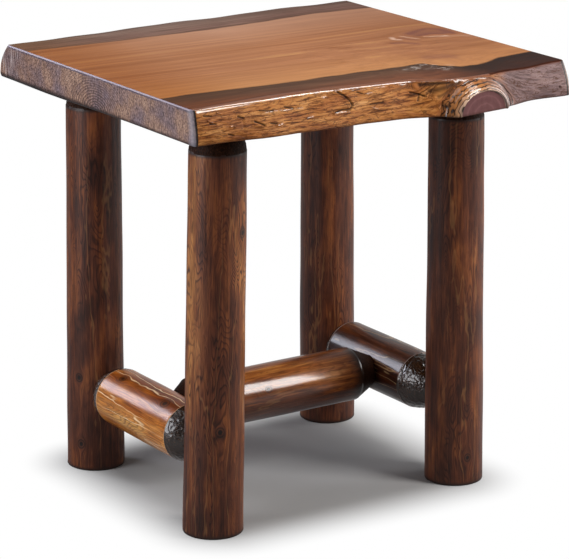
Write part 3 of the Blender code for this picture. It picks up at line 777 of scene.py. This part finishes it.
def peeled_log_finish(
    name, stain, figure, latewood, line_share, knot_tone, end_tone, end_reach, rough_low, specular, coat
):
    """Peeled softwood under stain: clouds and streaks of stain, growth layers cut through in wavy dark
    contours, a few pale latewood lines, small dark knots and a rim at the log's ends in the end tone: a
    pale end tone is a painted highlight, a dark one is stain with painted shade. The gold attribute
    lightens the stain for wear and painted light and darkens it for painted shade."""
    material, add = new_finish(name)
    grain = add("Attribute", attribute_name="grain", out="Vector")
    clouds, streaks, fibre, layers, waves, flow = grain_figures(add, grain, (
        ((0.026, 0.026, 0.085), 3, 0.55), ((0.0046, 0.0046, 0.11), 4, 0.62),
        ((0.0019, 0.0019, 0.03), 3, 0.62), ((0.03, 0.03, 0.17), 1.5, 0.45, 0.4),
        ((0.01, 0.01, 0.026), 1), ((0.022, 0.022, 0.42), 2, 0.4)))
    zones, = grain_figures(add, grain, (((0.045, 0.045, 0.13), 2),), Location=(3, 5, 7))
    gold, rim, knot = (
        add("Attribute", attribute_name=name, out="Fac") for name in ("gold", "rim", "knot"))
    tone = add("Mix", {0: 0.42, 2: clouds, 3: streaks}, data_type="FLOAT")
    tone = add("MULTIPLY_ADD", (gold, 0.27, tone))
    base = add("ValToRGB", (tone,), stops=stain)
    contour = add("MULTIPLY", (layers, 32))
    contour = add("MULTIPLY_ADD", (waves, 1.4, contour))
    contour = add("FRACT", (contour,))
    bands = add("ValToRGB", (contour,), stops={
        0: "#FFFFFF", 0.5: "#F4ECE4", 0.74: "#64493A", 0.84: "#64493A", 1: "#FFFFFF"})
    figured = add("MapRange", (zones, 0.42, 0.6, 0.12, figure))
    figured = add("MULTIPLY_ADD", (gold, 0.4, figured), use_clamp=True)
    base = add("Mix", {0: figured, 6: base, 7: bands}, **TINT)
    fibre_tone = add("ValToRGB", (fibre,), stops={0.3: "#74635A", 0.62: "#FFFFFF"})
    base = add("Mix", {0: 0.75, 6: base, 7: fibre_tone}, **TINT)
    layer_turn = add("MULTIPLY", (flow, 3.5))
    layer_turn = add("MULTIPLY_ADD", (waves, 0.4, layer_turn))
    layer_turn = add("FRACT", (layer_turn,))
    line = add("ValToRGB", (layer_turn,), stops={
        0.865: "#000000", 0.905: "#FFFFFF", 0.925: "#FFFFFF", 0.965: "#000000"})
    shown = add("MapRange", (zones, 0.36, 0.5, 0, line_share))
    line = add("MULTIPLY", (line, shown))
    rim = add("MapRange", (rim, end_reach, 0), interpolation_type="SMOOTHSTEP")
    knot_share = add("MapRange", (knot, 0, 2))
    knot_cover = add("ValToRGB", (knot_share,), stops={
        0: "#FFFFFF", 0.2: "#FFFFFF", 0.32: "#909090",
        0.43: "#F0F0F0", 0.58: "#404040", 0.9: "#000000"})
    for share, tone in ((line, latewood), (rim, end_tone), (knot_cover, knot_tone)):
        base = add("Mix", {0: share, 6: base, 7: tone}, **COLOUR)
    rough = add("MapRange", (fibre, 0, 1, rough_low, rough_low + 0.14))
    height = add("MULTIPLY_ADD", (contour, 0.3, fibre))
    lacquer(add, base, rough, (height, 0.25, 0.0007), specular, coat, 0.16)
    return material


def cutter_shoulder_finish(name, stops, strength, rough, specular, coat):
    """Torn end grain from a tenon cutter: near black where stain pooled, with glinting ridges."""
    material, add = new_finish(name)
    grain = add("Attribute", attribute_name="grain", out="Vector")
    torn, = grain_figures(add, grain, (((0.0017, 0.0017, 0.0028), 3, 0.65),))
    torn_tone = add("ValToRGB", (torn,), stops=stops)
    lacquer(add, torn_tone, rough, (torn, strength, 0.0014), specular, coat, 0.08)
    return material


# The legs' dark rim at the foot and below the shoulder is stain with painted shade.
dark_log_pine = peeled_log_finish(
    "peeled_pine_dark_stain",
    {0.28: "#2E150C", 0.42: "#4A2415", 0.53: "#66351E", 0.66: "#8E5129", 0.82: "#BA7E46"},
    figure=0.7, latewood="#C08A55", line_share=0.2, knot_tone="#150A07", end_tone="#2A1812",
    end_reach=0.006, rough_low=0.36, specular=0.3, coat=0.1)
torn_shoulder_pine = cutter_shoulder_finish(
    "cutter_torn_pine_black_stain",
    {0.35: "#0E0704", 0.5: "#1E1109", 0.62: "#402816", 0.74: "#6A4A30"},
    strength=0.4, rough=0.2, specular=0.5, coat=0.9)
brown_shoulder_pine = cutter_shoulder_finish(
    "cutter_scraped_pine_brown_stain",
    {0.3: "#140A06", 0.5: "#28160D", 0.66: "#3C2214", 0.8: "#563820"},
    strength=0.4, rough=0.46, specular=0.05, coat=0)

# Foot and top of each leg's middle line, its knots as (height, angle round the log, radius), and its
# worn zones; those on the sides that face the lamps are painted light as well as wear
LEGS = {
    "front_left_leg": (
        (-0.2055, -0.1525), (-0.197, -0.1573),
        ((0.152, -110, 0.0065), (0.4205, -60, 0.0065), (0.3, 60, 0.006), (0.09, 150, 0.005)),
        ((174, 28, 0.44, 0.1, 1), (178, 22, 0.26, 0.1, 0.9), (-46, 22, 0.27, 0.18, 0.8),
         (-128, 36, 0.3, 0.22, 0.25), (-70, 28, 0.4, 0.07, 0.5), (60, 30, 0.35, 0.14, 0.5))),
    "rear_left_leg": (
        (-0.2045, 0.1753), (-0.1998, 0.1728),
        ((0.1385, -154, 0.006), (0.0397, -150, 0.0062), (0.36, 70, 0.006), (0.24, 10, 0.005)),
        ((170, 26, 0.47, 0.07, 0.35), (168, 26, 0.3, 0.16, 0.35), (60, 30, 0.3, 0.16, 0.5),
         (-20, 25, 0.2, 0.1, 0.3))),
    "front_right_leg": (
        (0.194, -0.1528), (0.1905, -0.15),
        ((0.0415, -97, 0.0055), (0.33, 20, 0.006), (0.21, 120, 0.005)),
        ((-46, 16, 0.3, 0.22, 0.35), (40, 30, 0.36, 0.12, 0.5), (130, 28, 0.2, 0.12, 0.4))),
    "rear_right_leg": (
        (0.1945, 0.1753), (0.1927, 0.1766),
        ((0.2, 40, 0.006), (0.43, 110, 0.005), (0.05, 60, 0.005)),
        ((-50, 16, 0.35, 0.2, 0.25), (90, 30, 0.3, 0.14, 0.5), (20, 24, 0.44, 0.08, 0.4))),
}
for seed, (name, (foot, top, knots, worn)) in enumerate(LEGS.items()):
    start = LEG_SEAT - LEG_SHOULDER
    profile = [(0, 0), (0.02, 0), (LEG_FOOT_RADIUS - FOOT_EASE, 0),
               (LEG_FOOT_RADIUS - 0.3 * FOOT_EASE, 0.4 * FOOT_EASE), (LEG_FOOT_RADIUS, FOOT_EASE)]
    profile += log_line(LEG_FOOT_RADIUS, LEG_TOP_RADIUS, FOOT_EASE, start)
    profile += shoulder_line(LEG_TOP_RADIUS, start, LEG_SEAT, ROUND_SHOULDER)
    profile += tenon_line(LEG_SEAT, LEG_TENON_TOP)
    leg_mesh = peeled_log(profile, 0.75 * FOOT_EASE, start, knots, worn, seed, LEG_TORN_DEPTH)
    lean = (Vector(top) - Vector(foot)) / LEG_SEAT
    for vert in leg_mesh.verts:
        vert.co.x += foot[0] + lean.x * min(vert.co.z, LEG_SEAT)
        vert.co.y += foot[1] + lean.y * min(vert.co.z, LEG_SEAT)
    finished_piece(name, leg_mesh, (dark_log_pine, brown_shoulder_pine))


# Side and centre stretchers
# Three peeled pine logs, stained amber, brown and tawny. The side ones are tenoned into the front and
# the rear leg, and the centre one into both side ones, each with the cutter's shoulder at its ends.

STRETCHER_TENON = 0.053
STRAIGHT_SHOULDER = 1

# Pale rims at the amber and brown logs' ends are a painted highlight; the tawny log's long dark rim
# towards its shoulders is stain with painted shade.
amber_log_pine = peeled_log_finish(
    "peeled_pine_amber_stain",
    {0.32: "#7A380A", 0.43: "#A4581A", 0.52: "#C07228", 0.62: "#D48C3C", 0.74: "#E2A858"},
    figure=0.35, latewood="#EED0A2", line_share=0.95, knot_tone="#2E1609", end_tone="#C89C74",
    end_reach=0.002, rough_low=0.28, specular=0.12, coat=0.6)
brown_log_pine = peeled_log_finish(
    "peeled_pine_brown_stain",
    {0.32: "#26110A", 0.43: "#3C1C0E", 0.52: "#562C14", 0.62: "#744020", 0.74: "#945C32"},
    figure=0.5, latewood="#C9A878", line_share=0.4, knot_tone="#24120C", end_tone="#A09088",
    end_reach=0.002, rough_low=0.26, specular=0.12, coat=0.6)
tawny_log_pine = peeled_log_finish(
    "peeled_pine_tawny_stain",
    {0.32: "#5A2C12", 0.43: "#86491F", 0.52: "#A4602C", 0.62: "#BE7C3C", 0.74: "#D0985A"},
    figure=0.45, latewood="#D2A468", line_share=0.1, knot_tone="#24120C", end_tone="#24140C",
    end_reach=0.022, rough_low=0.24, specular=0.2, coat=1)

# Ends of each stretcher's middle line, its radius, how far from those ends its shoulders seat, the
# shoulders' lengths, curve and torn depth, its finishes, and its knots as (distance along, angle round
# the log, radius), and its worn zones, which are wear and painted light, and painted shade where the
# strength is below 0
STRETCHERS = {
    "left_stretcher": (
        (-0.2037, -0.1536, 0.12), (-0.2035, 0.1747, 0.12), 0.041, (0.0413, 0.0413),
        (0.023, 0.034), ROUND_SHOULDER, 0.0018, (amber_log_pine, torn_shoulder_pine),
        ((0.097, -118, 0.008), (0.2204, -112, 0.006), (0.15, 60, 0.006)),
        ((-100, 24, 0.12, 0.09, -0.9), (172, 30, 0.15, 0.12, 0.5))),
    "right_stretcher": (
        (0.1932, -0.1522, 0.122), (0.1941, 0.1756, 0.122), 0.0405, (0.0413, 0.0413),
        (0.041, 0.021), ROUND_SHOULDER, 0.0018, (brown_log_pine, torn_shoulder_pine),
        ((0.19, 20, 0.006), (0.12, 100, 0.005)), ((165, 40, 0.18, 0.2, -0.8),)),
    "centre_stretcher": (
        (-0.2036, 0.0106, 0.12), (0.1937, 0.0117, 0.122), 0.039, (0.0413, 0.0408),
        (0.02, 0.0295), STRAIGHT_SHOULDER, 0.0004, (tawny_log_pine, brown_shoulder_pine),
        ((0.1675, -112, 0.005), (0.24, 60, 0.006), (0.12, 20, 0.005)), ((-50, 34, 0.2, 0.2, -0.9),)),
}
for seed, (name, facts) in enumerate(STRETCHERS.items(), len(LEGS)):
    first, last, log_radius, seats, shoulders, curve, torn_depth, finishes, knots, worn = facts
    span = Vector(last) - Vector(first)
    near_seat, far_seat = seats[0], span.length - seats[1]
    low, high = near_seat + shoulders[0], far_seat - shoulders[1]
    profile = tenon_line(near_seat, near_seat - STRETCHER_TENON)[::-1]
    profile += shoulder_line(log_radius, low, near_seat, curve)[::-1]
    profile += log_line(log_radius, log_radius, low, high)
    profile += shoulder_line(log_radius, high, far_seat, curve)
    profile += tenon_line(far_seat, far_seat + STRETCHER_TENON)
    log_mesh = peeled_log(profile, low, high, knots, worn, seed, torn_depth)
    turn = Vector((0, 0, 1)).rotation_difference(span).to_matrix()
    bmesh.ops.rotate(log_mesh, verts=log_mesh.verts, matrix=turn)
    bmesh.ops.translate(log_mesh, verts=log_mesh.verts, vec=first)
    finished_piece(name, log_mesh, finishes)


# Studio
# A white floor that keeps the table's shadow and fades into a white backdrop. Softboxes stand at the
# front right, at both sides, behind and above, with a strip for the glint along the front edge, and
# the camera has the photograph's viewing angle.

SHADOW_MIDDLE, SHADOW_HALF = (-0.007, 0.01, 0), (0.183, 0.1605, 0)  # the floor stays matt over this box
SHADOW_FADE = 0.125
BACKDROP_DIRECTION = (0.8, 0.6, 0)
BACKDROP_GLOSS, AMBIENT = 0.35, 0.13
LAMP_AIM = Vector((0, 0, 0.35))

white_floor, add = new_finish("white_studio_floor")
place = add("TexCoord", out="Object")
away = add("VectorMath", (place, SHADOW_MIDDLE), operation="SUBTRACT")
away = add("VectorMath", (away,), operation="ABSOLUTE")
away = add("VectorMath", (away, SHADOW_HALF), operation="SUBTRACT")
away = add("VectorMath", (away, (0, 0, 0)), operation="MAXIMUM")
away = add("VectorMath", (away,), out=1, operation="LENGTH")
fade = add("MapRange", (away, 0, SHADOW_FADE), interpolation_type="SMOOTHSTEP")
rays = add("LightPath").node
seen = (rays.outputs["Is Camera Ray"], rays.outputs["Is Transmission Ray"])
seen = add("MAXIMUM", seen)
to_right = add("SeparateXYZ", {"Vector": place}, out="X")
to_right = add("MapRange", (to_right, -0.2, 0.6, 0, 0.4))
glossy = add("MULTIPLY", (rays.outputs["Is Glossy Ray"], to_right))
seen = add("MAXIMUM", (seen, glossy))
fade = add("MULTIPLY", (fade, seen))
matt = add("BsdfDiffuse", {"Color": "#A2A2A2"})
white = add("Emission", {"Color": "#FFFFFF", "Strength": 1})
shader = add("MixShader", {0: fade, 1: matt, 2: white})
add("OutputMaterial", {"Surface": shader})

floor_mesh = bmesh.new()
bmesh.ops.create_grid(floor_mesh, x_segments=8, y_segments=8, size=6)
floor_data = bpy.data.meshes.new("studio_floor")
floor_mesh.to_mesh(floor_data)
floor_mesh.free()
floor_data.materials.append(white_floor)
floor = bpy.data.objects.new("studio_floor", floor_data)
scene.collection.objects.link(floor)
floor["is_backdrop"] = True

world = bpy.data.worlds.new("white_backdrop")
scene.world = world
world.use_nodes = True
world.node_tree.nodes.clear()
add = partial(add_node, world.node_tree)
rays = add("LightPath").node
direction = add("TexCoord", out="Generated")
behind = add("VectorMath", (direction, BACKDROP_DIRECTION), out=1, operation="DOT_PRODUCT")
behind = add("MapRange", (behind, 0.4, 0.95, 0, BACKDROP_GLOSS))
behind = add("MULTIPLY", (behind, rays.outputs["Is Glossy Ray"]))
seen = (rays.outputs["Is Camera Ray"], rays.outputs["Is Transmission Ray"])
seen = add("MAXIMUM", seen)
seen = add("MAXIMUM", (seen, behind))
strength = add("MapRange", (seen, 0, 1, AMBIENT, 1))
add("OutputWorld", {"Surface": add("Background", {"Color": "#FFFFFF", "Strength": strength})})

# Softboxes: place, size across and up, power in watts, tint; each is aimed at the middle of the table
for name, place, size, power, tint in (
    ("key_softbox", (0.95, -1.35, 1.45), (0.6, 1.25), 34, (1, 0.98, 0.96)),
    ("left_softbox", (-1.85, 0.1, 0.8), (1.1, 1.2), 22, (0.96, 0.96, 1)),
    ("right_softbox", (2.0, -0.6, 0.9), (1.0, 1.2), 14, (1, 0.97, 0.96)),
    ("rear_softbox", (-1.0, 1.8, 1.1), (0.6, 0.9), 14, (0.86, 0.88, 1)),
    ("top_softbox", (-0.4, 0.1, 2.2), (1.3, 1.3), 7, (1, 1, 1)),
    ("strip_softbox", (0.63, -0.24, 1.83), (0.14, 0.4), 3.7, (1, 1, 1)),
):
    lamp = bpy.data.lights.new(name, "AREA")
    lamp.shape = "RECTANGLE"
    lamp.size, lamp.size_y = size
    lamp.energy = power
    lamp.color = tint
    light = bpy.data.objects.new(name, lamp)
    light.location = place
    light.rotation_euler = (Vector(place) - LAMP_AIM).to_track_quat("Z", "Y").to_euler()
    scene.collection.objects.link(light)

lens = bpy.data.cameras.new("photo_camera")
lens.sensor_width = 36
lens.lens = 185.1
lens.shift_x, lens.shift_y = 0.0129, -0.008
lens.clip_end = 50
camera = bpy.data.objects.new("photo_camera", lens)
camera.location = (-2.12329, -3.34053, 1.40132)
camera.rotation_euler = (math.radians(90 - 15.667), 0, math.radians(-32.367))
scene.collection.objects.link(camera)
scene.camera = camera

({name: [[float(n) for n in corner] for corner in corners]
           for name, corners in (("cad", cad_box), ("visual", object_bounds()))})
